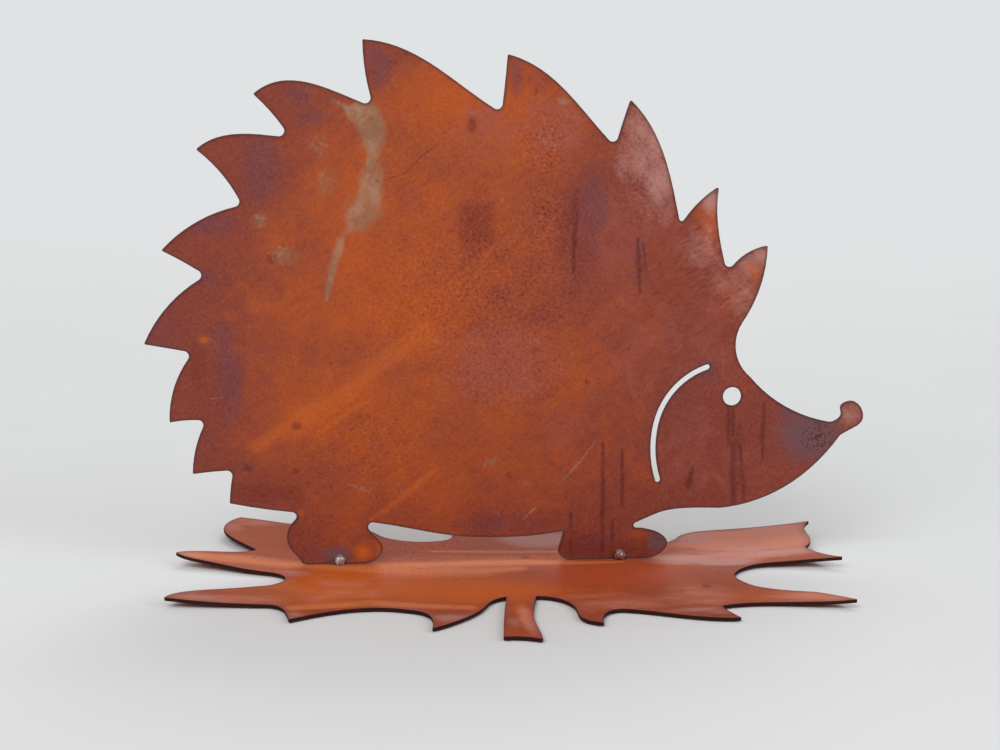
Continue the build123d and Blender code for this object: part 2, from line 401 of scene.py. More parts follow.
mark(plate, {
    "rim": rim,
    "warm": sum_patches(x, z, [
        (-18, 80, 40, 48, 0.74), (-14, 130, 17, 11, 0.45), (-49.6, 41.6, 20, 13, 0.35),
        (10.5, 121, 17, 17, 0.18), (-41.6, 13.5, 11, 11, 0.2), (30, 40, 30, 30, 0.3), (33, 66, 17, 22, 0.1),
        (16, 129, 17, 14, 0.35), (-52, 69, 17, 22, 0.2), (-4, 30, 25, 18, 0.2), (-42, 112, 9, 14, 0.3),
        (63.6, 94.2, 3, 6, 0.45), (75.8, 81.8, 2, 3, 0.3), (17, 100, 6, 14, 0.1), (20, 84, 7, 8, 0.12),
        (-15, 24, 44, 14, 0.17), (63, 98, 5, 9, 0.15), (-84, 66, 10, 14, -0.25), (-75, 38, 9, 12, -0.3),
        (58, 42, 8, 17, -0.3), (-36, 6, 10, 8, 0.12), (-10, 115, 10, 8, -0.12), (72, 74, 8, 9, 0.3),
        (-55, 96, 6, 6, 0.22), (6, 84, 18, 14, -0.12), (24, 96, 8, 13, -0.1), (-24, 61, 12, 12, -0.08),
        (-60, 23, 10, 7, -0.1), (-54, 35, 12, 8, 0.12), (-42, 19, 10, 8, 0.12)]),
    "plum": patches(x, z, [
        (-46.3, 5.4, 2.3, 2.8, 0.5), (-68.6, 52, 4.5, 13, 0.75), (-70.5, 66, 4, 4, 0.7),
        (-27.6, 137.4, 4.2, 7, 0.95), (9.2, 134.5, 2.6, 6, 0.75), (-49.8, 130.2, 4.4, 3.4, 0.75),
        (-45.5, 124.2, 6, 3.2, 0.7), (-60, 110.8, 6.6, 9.2, 0.9), (30.5, 101, 6, 12, 0.85),
        (-73.1, 95.6, 9.5, 3.8, 0.9), (-74.8, 81.4, 3.8, 2.6, 0.85), (-84, 74, 4, 6, 0.55),
        (44.1, 85.6, 3.6, 7, 0.55), (62.8, 53.8, 4.5, 4.5, 0.75), (-81, 60, 4, 4, 0.6),
        (7.4, 11.6, 19, 3.2, 0.6), (22.1, 39.8, 5.5, 4, 0.4), (-64, 29, 3, 2, 0.5), (-88, 65, 7, 8, 0.5),
        (57.5, 42, 5.5, 15, 0.45), (30, 88, 8, 12, 0.45), (22, 108, 6, 9, 0.35), (104.3, 41.6, 4, 4, 0.3),
        (46.9, 5.6, 5.5, 2.6, 0.45), (33.2, 5.1, 8.5, 4.5, 0.7), (86.4, 41.4, 2.6, 3, 0.7)]),
    "mauve": patches(x, z, [
        (6.5, 56.5, 17, 12, 0.75), (25, 38, 9, 6, 0.5), (44, 62, 18, 24, 0.42), (34, 92, 14, 16, 0.7),
        (60, 62, 10, 14, 0.6), (58, 32, 9, 16, 0.55), (74, 26, 12, 10, 0.4), (20, 121, 9, 9, 0.7),
        (-12, 104, 16, 8, 0.12), (52, 92, 8, 8, 0.4), (21, 126, 10, 5, 0.7), (0, 112, 12, 6, 0.12),
        (3, 121, 11, 8, 0.65), (-8, 66, 7, 4, 0.3)]),
    "nose": on_front * patches(x, z, [
        (93.4, 35.4, 9.2, 7.8, 1.0), (86.6, 41.5, 3.4, 4, 0.6), (50.0, 5.8, 3.0, 2.9, 1.0),
        (-39.6, 3.2, 3.9, 2.6, 1.0)]),
    "blush": patches(x, z, [
        (43.2, 119, 5, 9, 0.75), (48.2, 117.5, 3.4, 8, 1.0), (49, 106.5, 4.4, 8, 1.0),
        (43.8, 111.5, 4, 6, 0.85), (39.5, 112.6, 3.6, 6, 0.6), (46, 102, 5, 6, 0.4), (51, 100, 3.5, 5, 0.6),
        (63.8, 102.5, 3, 4.8, 1.1), (61.5, 88, 6.5, 8, 0.55), (68, 81, 6, 7, 0.5), (73.5, 73, 4.5, 7, 0.5),
        (74.5, 84, 4.6, 5, 0.65), (78.4, 87, 3.4, 4.5, 1.0), (104.3, 41.6, 3.8, 3.8, 0.75),
        (100, 39.4, 2.6, 1.6, 0.5), (24, 122, 7, 7, 0.12), (16, 57, 8, 5, 0.2)]),
    "chalk": on_front * patches(x, z, [
        (-29.2, 121.6, 2.2, 5, 0.8), (-42.3, 106.7, 3.2, 4.4, 0.65), (-44.4, 116.6, 3.2, 3.8, 0.6),
        (-60.2, 96.6, 2.5, 2.6, 0.8), (-53.6, 86.9, 4.6, 3.0, 0.75), (22.6, 128.6, 1.9, 1.1, 1.1),
        (2.9, 28.9, 2.2, 1.9, 0.7), (12.3, 23.3, 2.4, 1.0, 0.6), (-9.8, 50.8, 1.6, 1.3, 0.6),
        (79.5, 83, 1.5, 2, 0.4), (-86, 50, 3, 5, 0.25)]),
    # Dark rust spots and films; the broad rows at the front foot's lower end are painted shade
    "dark": on_front * np.maximum(
        patches(x, z, [
            (-2.6, 122.2, 1.4, 2.4, 0.9), (-50.6, 39.9, 1.6, 1.2, 0.9), (-57.0, 86.0, 1.5, 1.6, 0.9),
            (-60.8, 96.4, 0.9, 1.1, 0.9), (58.8, 22.4, 1.1, 1.8, 0.9), (79, 35, 0.8, 0.8, 1.0),
            (82.3, 26.4, 0.6, 0.6, 0.8), (-42.4, 1.7, 1.0, 0.9, 1.6), (36.6, 2.2, 0.9, 0.8, 1.4),
            (-63.9, 28.4, 1.2, 1.2, 0.9), (-50.8, 27.4, 1.2, 1.3, 0.9), (-47.6, 23.7, 1.2, 1.0, 0.7),
            (8.0, 25.2, 0.8, 0.8, 1.0), (29.8, 51.3, 0.9, 0.8, 1.0), (-77.5, 56, 3, 8, 0.5),
            (28, 87, 6, 13, 0.5), (23.4, 92, 3.4, 14, 0.5), (29, 4, 8, 4.5, 0.95), (38, 3, 7, 3, 0.9),
            (46, 4.5, 6, 4, 0.8)]),
        oblong(x, z, [
            (-1.1, 95.6, 5.2, 6.0, 0.6), (-2.8, 88.6, 3.6, 3.0, 0.4), (-58.4, 21.4, 10.0, 2.9, 0.5)])),
    "pitted": patches(x, z, [
        (17.1, 117.3, 7.2, 8.3, 1.0), (17.3, 96.2, 6.6, 8.9, 1.0), (0, 76, 27, 22, 0.7),
        (4.8, 55.6, 20, 12, 0.6), (-14, 112.7, 17, 14, 0.2), (95.2, 34.6, 4.6, 4.2, 1.3),
        (49.5, 5.9, 2.2, 2.2, 0.8), (62, 60, 12, 12, 0.15), (-30, 34, 16, 14, 0.4), (45, 80, 14, 14, 0.2),
        (44, 108, 5, 14, 0.6)]),
    "wavy": patches(x, z, [
        (62, 88, 14, 12, 1.0), (70, 76, 14, 14, 1.0), (54, 70, 14, 16, 0.7), (44, 84, 12, 12, 0.5)]),
    "glow": on_front * patches(x, z, [
        (-75.5, 64, 1.4, 1.0, 0.9), (-61.9, 73.2, 2.3, 2.3, 0.3), (-67.9, 70.5, 2.3, 1.4, 0.3),
        (-32.5, 4.1, 2.2, 2.2, 1.1), (-27.9, 6.5, 1.1, 4.5, 0.45), (75.8, 81.7, 1.1, 1.5, 0.4),
        (-49.5, 15.5, 0.8, 0.8, 0.9), (-50.5, 38.4, 2.6, 1.3, 0.6), (45.2, 6.8, 2.8, 2.6, 0.6)]),
    "streak": strokes(x, z, STREAKS) + away,
    "drip": np.minimum(strokes(x, z, DRIPS), strokes(x, z, [FAINT_LINE]) + 0.75) + away,
    "scratch": strokes(x, z, SCRATCHES) + away,
    "stain": strokes(x, z, [STAIN]) + away + thinner})


# ---------------------------------------------------------------- leaf

# The photo's side notches and front left bay are rounder than the solid's, and its back edge under the
# belly lies nearer.
LEAF_LINES = [
    [(84, -10.5), (79.4, -10.6), (75.3, -11.9), (71.8, -14.8), (69.2, -18.6), (67.8, -22.4), (67.6, -26.7),
     (68.7, -31.3), (70.5, -35.7), (73.6, -39.2), (78.3, -42.8), (84, -46.8)],
    [(-66, -5.4), (-61.5, -7.7), (-58, -9.4), (-55.7, -11.6), (-54.5, -15), (-54.8, -18.4), (-56.2, -21.2),
     (-58.8, -23.8), (-62.5, -25.7)],
    [(-66, -44.6), (-62.6, -44.8), (-59.7, -45.1), (-57.9, -46.3), (-56.6, -48.4), (-55.8, -51.1),
     (-55.4, -54.2), (-55.2, -58)],
    [(-40, 48.6), (-33, 46.2), (-28.6, 42.6), (-26.4, 38.1), (-25.2, 34.6), (-23.2, 31.3), (-20, 28.3),
     (-16.6, 26.6), (-13, 25.8), (-8.5, 26.4)]]
LEAF_RIM_STEP = 0.8
ABOVE = 30  # higher than any point of the leaf

points, tris = welded(nodes["leaf_base"])
top_tris = facing(points, tris, (0, 0, 1))
leaf_loops = [evened(points[loop], LEAF_RIM_STEP)[:, :2] for loop in rims(top_tris)]
for line in LEAF_LINES:
    leaf_loops[0] = redrawn(leaf_loops[0], line, LEAF_RIM_STEP)
top = BVHTree.FromPolygons([tuple(p) for p in points], top_tris)


def leaf_height(p):
    """The height of the CAD leaf's top at a flat point, or at the nearest place where it has none."""
    hit = top.ray_cast(Vector((p[0], p[1], ABOVE)), Vector((0, 0, -1)))[0]
    if hit is None:
        hit = top.find_nearest(Vector((p[0], p[1], 2)))[0]
    return hit.z


def leaf_top(p, depth):
    low = 0.0 if depth else worn(p, (0.07, 26, 11.3), (0.02, 6, 17.1))
    return (p[0], p[1], leaf_height(p) - depth - low)


def leaf_under(p, depth):
    return (p[0], p[1], leaf_height(p) - THICK + depth)


leaf, co, rim = sheet("maple_leaf", leaf_loops, leaf_top, leaf_under, front_step=1.5, back_step=3.0)
x, y = co[:, 0], co[:, 1]
mark(leaf, {
    "rim": rim,
    # Lines of painted reflection and painted sheen on the leaf's top, drawn out along x
    "reflection_band": strokes(x, y, [
        [(-84, 7.5, 3), (-64, 4.6, 4), (-50, -0.5, 3.5), (-36, -6, 3), (-20, -4, 3.5), (-2, -3, 3.5),
         (12, -3, 3), (28, -4.5, 1.6), (40, -4.5, 0.6)],
        [(-32, -9, 2.5), (-16, -11.5, 4), (0, -12, 3.5), (10, -10, 2)],
        [(-12, 13.5, 1.0), (5, 11.5, 1.6), (24, 10, 1.4), (32, 9, 1.0)]]),
    "front_reflection_band": strokes(x, y, [
        [(-53, -49.2, 2.2), (-44, -47.6, 2.6), (-33, -45.6, 2.6), (-22, -49.4, 2.4), (-8, -52.8, 2)]]),
    "sheen": strokes(x, y, [
        [(56, 15.5, 1.0), (62, 14, 1.6), (69, 12.6, 1.0)],
        [(-30, -15, 1.5), (-14, -17, 3), (2, -17, 1.5)],
        [(55, 1.2, 0.8), (63, 0.6, 1.6), (72, -0.7, 1.8), (88, -2, 1.0)],
        [(62, 24, 0.9), (76, 22, 1.6), (92, 20, 1.0)]]),
    "warm": patches(x, y, [
        (-30, -30, 32, 20, 1.0), (-2, -36, 22, 14, 1.0), (-62, -14, 16, 12, 0.5), (78, -46, 20, 12, 0.3),
        (-62, 34, 14, 16, 0.3), (5.5, -58, 3, 12, 0.8), (-42, -24, 16, 22, 1.3)]),
    "deep": patches(x, y, [
        (34, -18, 24, 20, 0.9), (-12, 24, 26, 14, 0.8), (14, 20, 16, 14, 0.6), (36, 34, 14, 22, 0.5),
        (-20, 52, 20, 16, 0.5)]),
    # The rust's own lilac and rose tints, which at the back right and behind the plate also stand in for a
    # painted sheen
    "lilac_and_sheen": patches(x, y, [
        (-72, 7, 14, 6, 0.45), (-60, 18, 8, 8, 0.2), (58, -2, 12, 7.5, 1.0), (74, 1, 16, 8, 0.85),
        (90, -1, 10, 6, 0.75), (62, -14, 14, 7, 0.3), (64, 26, 8, 12, 0.8), (20, 26, 12, 12, 1.1),
        (1.5, -68, 2.4, 9, 0.55), (-14, -63, 9, 5, 0.7), (-54, -57, 4, 7, 0.7), (-78, -37, 10, 6, 0.5),
        (-84, 12, 8, 5, 0.5), (88, 34, 14, 7, 0.6), (68, -6.5, 9, 4.5, 1.3), (-52.2, -10, 6, 5, 0.55),
        (-68.8, 42, 5, 8, 0.5), (-63, 25, 5, 5, 0.3), (-80.5, 5.6, 5, 4, 0.8), (20, 62, 10, 14, 0.5),
        (24, 84, 8, 9, 0.6), (40, 52, 7, 9, 0.5), (-40, 62, 12, 7, 0.5), (2, 66, 6, 8, 0.4),
        (50, -60, 8, 4, 0.6), (56, -64, 5, 3, 0.6)]),
    "rose_and_sheen": patches(x, y, [
        (86, 20, 28, 18, 1.15), (-72, -40, 20, 7, 0.5), (52, -44, 12, 14, 0.5), (30, -52, 16, 8, 0.5),
        (86, -50, 18, 9, 0.7), (-82, 9, 12, 6, 0.3), (-62, 52, 14, 5, 0.5), (5.5, -66, 2.2, 16, 0.9),
        (82, 1, 20, 7, 0.75), (-42, -32, 15, 18, 0.45), (26, -48, 16, 8, 0.4)]),
    # Where the orange peel's painted glints and painted shade are strongest
    "painted_glints": patches(x, y, [
        (-18, -9, 17, 6, 1.0), (-10, 16, 26, 14, 0.9), (12, 4, 20, 6, 0.5), (-4, -18, 14, 6, 0.4)]),
    "spot": patches(x, y, [
        (13.3, 3.6, 0.9, 1.6, 1.0), (57.4, -35, 1.0, 2.0, 1.0), (82, -63, 0.9, 1.4, 0.8),
        (44, -57.6, 8, 1.8, 0.3), (48.5, -63, 5, 1.8, 0.35), (54.5, -66, 4.5, 2.4, 0.55)]),
    "olive": patches(x, y, [
        (-34.4, -46.2, 2.0, 2.2, 1.0), (-60.8, -24.6, 1.8, 2.2, 0.8)])})


# ---------------------------------------------------------------- tack welds

BEAD_RINGS, BEAD_AROUND = 28, 48
BEFORE_FOOT, ABOVE_LEAF = 0.3, 0.95  # where the middle of a bead lies


def bead(name, node, seed, lump, bare):
    """A lumpy puddle of weld metal, flat where it sits on the foot and on the leaf. It is rustier to
    its lower left, from the share given in the middle."""
    low, high = (np.array(c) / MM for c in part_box(node))
    centre = np.array([(low[0] + high[0]) / 2, high[1] - BEFORE_FOOT, low[2] + ABOVE_LEAF])
    half = np.array([(high[0] - low[0]) / 2, centre[1] - low[1], high[2] - centre[2]])
    verts, faces = [], []
    for i in range(BEAD_RINGS + 1):
        tilt = math.pi * i / BEAD_RINGS
        for j in range(BEAD_AROUND if 0 < i < BEAD_RINGS else 1):
            turn = 2 * math.pi * j / BEAD_AROUND
            way = np.array([math.sin(tilt) * math.cos(turn), -math.cos(tilt), math.sin(tilt) * math.sin(turn)])
            rough = noise.noise(Vector(way * 1.6) + Vector((seed, 0, 0)))
            rough += 0.35 * noise.noise(Vector(way * 5.0) + Vector((0, seed, 0)))
            wave = 0.035 * math.sin(9 * tilt + 1.5 * math.sin(turn + seed))
            arm = way * half * (1 - lump + lump * rough + wave)
            arm *= min(1, BEFORE_FOOT / max(arm[1], TINY), ABOVE_LEAF / max(-arm[2], TINY))
            verts.append(tuple(centre + arm))
    first = [0] + [1 + BEAD_AROUND * i for i in range(BEAD_RINGS - 1)]
    last = first[-1]
    for j in range(BEAD_AROUND):
        k = (j + 1) % BEAD_AROUND
        faces.append((0, first[1] + j, first[1] + k))
        for i in range(1, BEAD_RINGS - 1):
            faces.append((first[i] + j, first[i + 1] + j, first[i + 1] + k, first[i] + k))
        faces.append((last + k, last + j, len(verts) - 1))
    piece = built(name, verts, faces)
    share = (np.array(verts) - centre) / half
    mark(piece, {"rust": np.clip(bare - share[:, 0] * 0.35 - share[:, 2] * 0.3, 0, 1)})
    return piece


rear_bead = bead("rear_tack", "rear_foot_weld", seed=3.7, lump=0.10, bare=0.2)
front_bead = bead("front_tack", "front_foot_weld", seed=8.2, lump=0.12, bare=0.6)


# ---------------------------------------------------------------- materials

def srgb(*seen):
    """A colour given as it is seen on screen, from 11 to 255, in linear light."""
    return (*(((c / 255 + 0.055) / 1.055) ** 2.4 for c in seen), 1.0)


BODY = {"base": srgb(124, 55, 42), "warm": srgb(174, 78, 21), "mauve": srgb(146, 74, 64),
        "plum": srgb(108, 56, 60), "blush": srgb(177, 127, 118), "bright": srgb(194, 94, 28),
        "dark": srgb(107, 37, 24), "nose": srgb(102, 71, 77), "pit": srgb(80, 35, 31), "drip": srgb(92, 34, 29),
        "stain": srgb(134, 101, 76), "pale_stain": srgb(156, 124, 99), "rim": srgb(66, 40, 40),
        "burr": srgb(48, 30, 28)}
# Of the leaf's colours, the pale band and the sheen are painted reflection, rose and lilac are partly a painted
# sheen, and the burr is partly painted shade
LEAF = {"base": srgb(146, 70, 48), "warm": srgb(192, 92, 34), "deep": srgb(176, 78, 47),
        "rose_and_sheen": srgb(204, 134, 112), "lilac_and_sheen": srgb(180, 132, 124), "reflection_band": srgb(212, 126, 80),
        "sheen": srgb(206, 104, 56), "border": srgb(146, 78, 76), "olive": srgb(150, 100, 50),
        "fleck": srgb(70, 36, 32), "rim": srgb(70, 40, 40), "burr": srgb(30, 21, 22)}
WELD = {"dark": srgb(88, 62, 68), "bright": srgb(176, 158, 156), "rust": srgb(126, 62, 46)}
# What a painted glint of the orange peel adds, in linear light
GLINT = (0.21, 0.11, 0.06, 1.0)
SKEW = (0.5, 0.7, 0.3)
BUMP = 0.00012  # metres


class Nodes:
    """A small writer of node trees."""

    def __init__(self, owner, output):
        self.owner = owner
        owner.use_nodes = True
        self.tree = owner.node_tree
        self.tree.nodes.clear()
        self.out = self.node(output)

    def node(self, kind, values=None, **settings):
        made = self.tree.nodes.new("ShaderNode" + kind)
        for key, value in settings.items():
            setattr(made, key, value)
        for key, value in (values or {}).items():
            if isinstance(value, bpy.types.NodeSocket):
                self.tree.links.new(value, made.inputs[key])
            else:
                made.inputs[key].default_value = value
        return made

    def show(self, shader):
        """Links the finished shader, and gives back the material or world."""
        self.tree.links.new(shader, self.out.inputs[0])
        return self.owner

    def math(self, operation, a, b, clamp=False):
        return self.node("Math", {0: a, 1: b}, operation=operation, use_clamp=clamp).outputs[0]

    def times(self, a, b, clamp=False):
        return self.math("MULTIPLY", a, b, clamp)

    def most(self, a, b, clamp=False):
        return self.math("MAXIMUM", a, b, clamp)

    def plus(self, value, part, share):
        """The value with a share of the part added."""
        return self.math("ADD", value, self.times(part, share))


class Surface(Nodes):
    """The same for a material, with tools for rust. Sizes are in millimetres."""

    def __init__(self, name):
        super().__init__(bpy.data.materials.new(name), "OutputMaterial")
        self.place = self.node("TexCoord").outputs["Object"]

    def read(self, name):
        return self.node("Attribute", attribute_name=name).outputs["Fac"]

    def noise(self, size, detail=3.0, rough=0.55, shift=0.0, warp=0.0, turn=SKEW, run=1.0):
        """Noise with spots of a size, 0 to 1, drawn out run times along its turned x axis."""
        spot = self.node("Mapping", {"Vector": self.place, "Location": (shift, shift, shift), "Rotation": turn,
                                     "Scale": (run, 1, 1)}, vector_type="TEXTURE").outputs[0]
        return self.node("TexNoise", {"Vector": spot, "Scale": 1 / MM / size, "Detail": detail,
                                      "Roughness": rough, "Distortion": warp}).outputs[0]

    def step(self, value, low, high):
        """0 below low, 1 above high, and smooth between; high may be the lower one."""
        ends = (low, high, 0.0, 1.0) if low < high else (high, low, 1.0, 0.0)
        limits = dict(zip(("From Min", "From Max", "To Min", "To Max"), ends))
        return self.node("MapRange", {"Value": value, **limits}, interpolation_type="SMOOTHSTEP").outputs[0]

    def swayed(self, value, cloud, reach):
        """The value moved up and down by a noise."""
        return self.plus(value, self.math("SUBTRACT", cloud, 0.5), reach)

    def ragged(self, name, cloud, reach, low, high):
        """A soft mark cut to a blotch whose edge follows a noise."""
        return self.step(self.swayed(self.read(name), cloud, reach), low, high)

    def mix(self, share, a, b, blend="MIX"):
        return self.node("Mix", {0: share, 6: a, 7: b}, data_type="RGBA", blend_type=blend,
                         clamp_result=True).outputs[2]

    def coat(self, colour, cover, share, tone):
        """The colour, coated with a share of a tone where the cover is 1."""
        return self.mix(self.times(cover, share), colour, tone)

    def peel_glints(self, colour, peel, depth):
        """The painted glints and painted shade of an orange-peel surface's dots, over a colour."""
        up = self.times(self.step(peel, 0.5, 0.74), depth)
        down = self.times(self.step(peel, 0.49, 0.27), depth)
        return self.mix(down, self.mix(up, colour, GLINT, "ADD"), GLINT, "SUBTRACT")

    def shader(self, colour, rough, height, strength, **fixed):
        """The surface shader, with the fixed values on its own sockets."""
        normal = self.node("Bump", {"Height": height, "Strength": strength, "Distance": BUMP}).outputs[0]
        made = self.node("BsdfPrincipled", {"Base Color": colour, "Roughness": rough, "Normal": normal})
        for key, value in fixed.items():
            made.inputs[key.replace("_", " ")].default_value = value
        return made.outputs[0]


def plate_rust():
    """The hedgehog's rust, from broad tones down to the cut edge. The turned noises run along its slanted
    streaks."""
    s = Surface("rust_body")
    broad = s.noise(26, 4, 0.6, warp=0.6)
    cloudy = s.noise(8, 5, 0.65, shift=0.3, warp=0.4)
    blotch = s.noise(9, 6, 0.68, shift=0.6, warp=1.0)
    fine = s.noise(1.1, 3, 0.6, shift=0.7)
    speck = s.noise(0.75, 2, 0.5, shift=0.1)
    dots = s.noise(0.75, 2, 0.6, shift=0.45)
    waves = s.noise(0.8, 3, 0.6, shift=0.65, turn=(0.6, -math.radians(24), 0), run=3.2)
    peel = s.node("Mix", {0: s.read("wavy"), 2: dots, 3: waves}).outputs[0]
    grain = s.noise(1.6, 4, 0.65, shift=0.5, turn=(0.6, -math.radians(34), 0), run=5.0)
    fallen = s.noise(1.8, 4, 0.65, shift=0.25, turn=(0.6, math.radians(50), 0), run=4.0)
    fibre = s.noise(1.5, 5, 0.75, shift=0.8, turn=(0.6, -math.radians(58), 0), run=2.6)

    # Tones of the rust
    heat = s.read("warm")
    for cloud, reach in ((broad, 0.9), (cloudy, 0.65), (blotch, 0.4), (grain, 0.45), (fine, 0.12)):
        heat = s.swayed(heat, cloud, reach)
    colour = s.mix(s.step(heat, -0.05, 1.1), BODY["base"], BODY["warm"])
    colour = s.coat(colour, s.ragged("mauve", blotch, 1.8, 0.15, 0.85), 0.6, BODY["mauve"])
    bluish = s.times(s.ragged("plum", blotch, 1.5, 0.25, 0.85), 0.7)
    bluish = s.plus(bluish, s.step(broad, 0.58, 0.8), 0.15)
    colour = s.mix(bluish, colour, BODY["plum"])
    rubbed = s.plus(s.plus(s.times(blotch, 0.45), fallen, 0.35), peel, 0.2)
    colour = s.coat(colour, s.ragged("blush", rubbed, 2.0, 0.1, 1.15), 0.75, BODY["blush"])
    bright = s.times(s.ragged("streak", grain, 3.4, 1.7, 0.1), 0.42)
    bright = s.most(bright, s.times(s.read("glow"), 0.7), clamp=True)
    colour = s.mix(bright, colour, BODY["bright"])
    # Dark rust patches, and painted shade at the front foot's lower end
    dark_and_shade = s.ragged("dark", blotch, 0.35, 0.1, 0.8)
    colour = s.coat(colour, dark_and_shade, 0.66, BODY["dark"])
    snout = s.ragged("nose", blotch, 0.8, 0.1, 0.95)
    colour = s.coat(colour, snout, 0.85, BODY["nose"])

    # Pits, and the water's dark runs
    pits = s.times(s.step(s.plus(speck, snout, -0.07), 0.43, 0.31), s.read("pitted"), clamp=True)
    loose = s.step(s.noise(3.1, 2, 0.5, shift=0.9), 0.3, 0.22)
    pits = s.times(s.most(pits, s.times(loose, 0.6)), s.plus(1.0, dark_and_shade, -0.85))
    colour = s.mix(s.times(pits, s.plus(0.5, snout, 0.42)), colour, BODY["pit"])
    halo = s.times(s.ragged("drip", blotch, 1.6, 2.8, 0.6), 0.35)
    core = s.times(s.ragged("drip", fine, 1.8, 2.2, 0.4), s.plus(0.35, s.step(blotch, 0.36, 0.5), 0.65))
    colour = s.mix(s.most(halo, s.times(core, 0.75)), colour, BODY["drip"])
    # How strong the orange peel's painted glints and painted shade are
    depth = s.plus(s.plus(0.13, s.read("pitted"), 0.26), s.read("wavy"), 0.1)
    colour = s.peel_glints(colour, peel, s.times(depth, s.step(snout, 1.5, 0.0)))

    # The lime stain, its pale spots and the scratches
    edge = s.swayed(s.swayed(s.read("stain"), fibre, 1.9), blotch, 1.1)
    thick = s.plus(0.3, s.step(blotch, 0.4, 0.62), 0.25)
    thick = s.plus(s.plus(thick, s.step(fibre, 0.38, 0.6), 0.3), s.step(speck, 0.36, 0.6), 0.2)
    lime = s.times(s.step(edge, 1.5, 0.55), thick)
    spots = s.times(s.ragged("chalk", fine, 1.5, 0.25, 0.95), 0.6)
    cut = s.times(s.times(s.ragged("scratch", fine, 1.6, 1.2, 0.3), s.step(speck, 0.32, 0.56)), 0.6)
    lime = s.most(s.most(lime, spots), cut)
    colour = s.mix(lime, colour, s.mix(s.step(cloudy, 0.4, 0.65), BODY["stain"], BODY["pale_stain"]))

    # The burnt cut edge
    colour = s.coat(colour, s.ragged("rim", fine, 0.6, 0.95, 0.2), 0.6, BODY["rim"])
    colour = s.coat(colour, s.step(s.read("rim"), 0.12, 0.02), 0.7, BODY["burr"])

    rough = s.plus(s.plus(s.plus(0.42, cloudy, 0.22), lime, 0.2), bright, -0.12)
    height = s.plus(s.plus(s.plus(s.times(peel, 0.5), cloudy, 0.4), pits, -0.7), lime, 0.3)
    return s.show(s.shader(colour, rough, height, 0.5, Specular_IOR_Level=0.22))


def leaf_rust():
    s = Surface("rust_leaf")
    level = (0.6, 0, 0)
    broad = s.noise(30, 4, 0.6, warp=0.5, shift=0.21)
    cloudy = s.noise(9, 5, 0.65, shift=0.43, warp=0.4)
    blotch = s.noise(7, 6, 0.68, shift=0.6, warp=0.8, turn=level, run=2.0)
    fine = s.noise(1.2, 3, 0.6, shift=0.77)
    speck = s.noise(2.8, 2, 0.5, shift=0.15)
    peel = s.noise(1.0, 3, 0.6, shift=0.35)
    grain = s.noise(2.4, 4, 0.65, shift=0.52, turn=level, run=7.0)

    # Tones of the rust
    heat = s.times(s.read("warm"), 0.7)
    for cloud, reach in ((broad, 0.7), (cloudy, 0.5), (grain, 0.7), (fine, 0.2)):
        heat = s.swayed(heat, cloud, reach)
    colour = s.mix(s.step(heat, -0.3, 0.9), LEAF["base"], LEAF["warm"])
    colour = s.coat(colour, s.ragged("deep", cloudy, 1.0, 0.1, 0.9), 0.7, LEAF["deep"])
    # Rose and lilac tints of the rust, partly a painted sheen at the back right and behind the plate
    colour = s.coat(colour, s.ragged("rose_and_sheen", blotch, 1.2, 0.1, 0.9), 0.7, LEAF["rose_and_sheen"])
    colour = s.coat(colour, s.ragged("lilac_and_sheen", blotch, 1.0, 0.2, 0.95), 0.8, LEAF["lilac_and_sheen"])

    # Painted reflection: pale bands and lines of painted sheen, drawn out along x
    painted_reflection = s.times(s.ragged("reflection_band", grain, 1.8, 1.9, 0.3), 0.6)
    painted_reflection = s.most(painted_reflection, s.times(s.ragged("front_reflection_band", grain, 1.6, 1.7, 0.4), 0.6))
    colour = s.mix(painted_reflection, colour, LEAF["reflection_band"])
    colour = s.coat(colour, s.ragged("sheen", grain, 1.6, 1.5, 0.4), 0.4, LEAF["sheen"])

    # A mauve border, flecks, and the burnt cut edge, darkened further with painted shade
    border = s.step(s.plus(s.read("rim"), cloudy, 2.6), 4.2, 1.2)
    colour = s.coat(colour, border, 0.5, LEAF["border"])
    colour = s.mix(s.times(s.read("olive"), s.step(fine, 0.3, 0.6)), colour, LEAF["olive"])
    flecks = s.most(s.times(s.step(speck, 0.27, 0.21), 0.7), s.times(s.read("spot"), 0.8), clamp=True)
    colour = s.mix(flecks, colour, LEAF["fleck"])
    # The orange peel's painted glints and painted shade
    colour = s.peel_glints(colour, peel, s.plus(0.12, s.read("painted_glints"), 0.45))
    colour = s.coat(colour, s.ragged("rim", fine, 0.5, 0.8, 0.25), 0.15, LEAF["rim"])
    # The cut face, burnt dark and darkened to near-black with painted shade
    colour = s.coat(colour, s.step(s.read("rim"), 0.14, 0.03), 0.93, LEAF["burr"])

    rough = s.plus(0.3, cloudy, 0.16)
    height = s.plus(s.plus(s.times(peel, 0.5), cloudy, 0.6), flecks, -0.5)
    return s.show(s.shader(colour, rough, height, 0.15, Specular_IOR_Level=0.01))


def weld_metal():
    s = Surface("weld_bead")
    cloudy = s.noise(1.2, 4, 0.6, warp=0.5)
    fine = s.noise(0.35, 3, 0.6, shift=0.4)
    colour = s.mix(s.step(cloudy, 0.35, 0.62), WELD["dark"], WELD["bright"])
    colour = s.mix(s.ragged("rust", fine, 0.8, 0.35, 0.7), colour, WELD["rust"])
    rough = s.plus(0.22, fine, 0.3)
    height = s.plus(cloudy, fine, 0.3)
    return s.show(s.shader(colour, rough, height, 0.5, Metallic=0.45))


metal = weld_metal()
for piece, material in ((plate, plate_rust()), (leaf, leaf_rust()), (rear_bead, metal), (front_bead, metal)):
    piece.data.materials.append(material)

